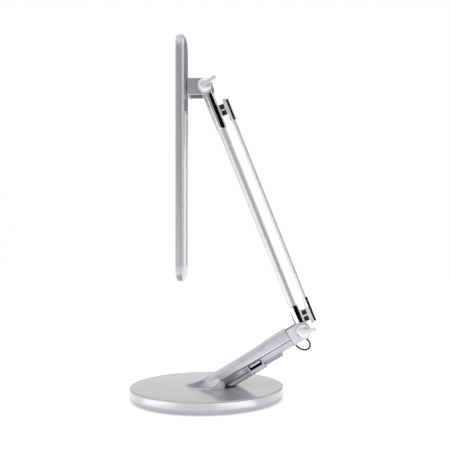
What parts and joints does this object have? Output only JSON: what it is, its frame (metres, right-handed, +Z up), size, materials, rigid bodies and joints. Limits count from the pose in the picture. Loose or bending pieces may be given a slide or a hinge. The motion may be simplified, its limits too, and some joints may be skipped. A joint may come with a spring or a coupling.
{
  "type": "desk lamp",
  "caption": "Folding LED desk lamp: round weighted base, leaning neck with a USB charging port, twin-tube arm and a slim bar head on two clamped hinges.",
  "frame": {"origin": "centre of the round base on the table surface", "axes": "+Z up; the neck rises towards +X and the arm leans back towards -X in the XZ plane; +Y is the side away from the clamp knobs"},
  "size_m": [0.1861, 0.153, 0.3612],
  "materials": {
    "silver_paint": "semi-gloss silver paint on pressed steel",
    "tray_paint": "moulded ABS in silver grey",
    "raw_steel": "rolled and zinc plated",
    "foot_rubber": "matt black EVA",
    "zinc_screw": "zinc plated",
    "black_plastic": "moulded black",
    "nickel_contact": "nickel plated",
    "cast_alloy": "die cast and satin painted",
    "silver_shell": "silver painted ABS",
    "silver_cover": "silver painted ABS",
    "usb_tongue": "moulded white",
    "circuit_board": "green solder mask",
    "chrome": "polished",
    "friction_nylon": "nylon",
    "satin_knob": "satin silver",
    "satin_tube": "satin anodised",
    "cable_rubber": "satin black PVC",
    "silver_bracket": "silver painted steel",
    "frame_paint": "silver painted ABS",
    "opal_diffuser": "opal acrylic",
    "clear_acrylic": "clear moulded acrylic",
    "white_film": "white polyester film",
    "led_board": "white solder mask with LED packages"
  },
  "bodies": {
    "base": {"base_top_cover": "silver_paint", "base_bottom_tray": "tray_paint", "base_ballast": "raw_steel", "foot_mat": "foot_rubber", "tray_screws": "zinc_screw", "neck_foot_screws": "zinc_screw", "dc_inlet": "black_plastic", "dc_inlet_pin": "nickel_contact", "neck_spine": "cast_alloy", "neck_upper_shell": "silver_shell", "neck_lower_cover": "silver_cover", "neck_foot_flange": "silver_shell", "neck_foot_seal": "foot_rubber", "neck_cover_screws": "zinc_screw", "usb_receptacle": "nickel_contact", "usb_tongue": "usb_tongue", "usb_board": "circuit_board", "neck_grommet": "black_plastic", "lower_pivot_bolt": "chrome", "lower_washers": "friction_nylon"},
    "lower_knob": {"lower_knob": "satin_knob"},
    "arm": {"arm_main_tube": "satin_tube", "arm_rear_rod": "satin_tube", "lower_main_sleeve": "chrome", "upper_main_sleeve": "chrome", "lower_rear_sleeve": "chrome", "upper_rear_sleeve": "chrome", "lower_bridge": "cast_alloy", "upper_bridge": "cast_alloy", "lower_bridge_plugs": "black_plastic", "upper_bridge_plugs": "black_plastic", "arm_grommet": "black_plastic", "cable_loop": "cable_rubber"},
    "bracket": {"upper_pivot_bolt": "chrome", "upper_washers": "friction_nylon", "head_bracket": "silver_bracket", "swivel_washer": "friction_nylon"},
    "upper_knob": {"upper_knob": "satin_knob"},
    "head": {"swivel_disc": "black_plastic", "swivel_pin": "zinc_screw", "swivel_nut": "zinc_screw", "swivel_plate": "raw_steel", "head_front_frame": "frame_paint", "head_back_cover": "silver_shell", "diffuser": "opal_diffuser", "light_guide": "clear_acrylic", "reflector": "white_film", "led_strips": "led_board", "driver_board": "circuit_board", "head_screws": "zinc_screw"}
  },
  "joints": [
    {"name": "arm_hinge", "type": "hinge", "parent": "base", "child": "arm", "pos_m": [0.09499, 0, 0.06784], "axis": [0, 1, 0], "range_deg": [-30, 50], "deforming": ["cable_loop"]},
    {"name": "head_hinge", "type": "hinge", "parent": "arm", "child": "bracket", "pos_m": [-0.00157, 0, 0.30925], "axis": [0, 1, 0], "range_deg": [-20, 120]},
    {"name": "head_swivel", "type": "hinge", "parent": "bracket", "child": "head", "pos_m": [-0.00157, 0, 0.30925], "axis": [1, 0, 0], "range_deg": [-90, 90]},
    {"name": "lower_clamp", "type": "hinge", "parent": "base", "child": "lower_knob", "pos_m": [0.09499, 0, 0.06784], "axis": [0, 1, 0], "range_deg": [-60, 120]},
    {"name": "upper_clamp", "type": "hinge", "parent": "bracket", "child": "upper_knob", "pos_m": [-0.00157, 0, 0.30925], "axis": [0, 1, 0], "range_deg": [-60, 120]}
  ]
}
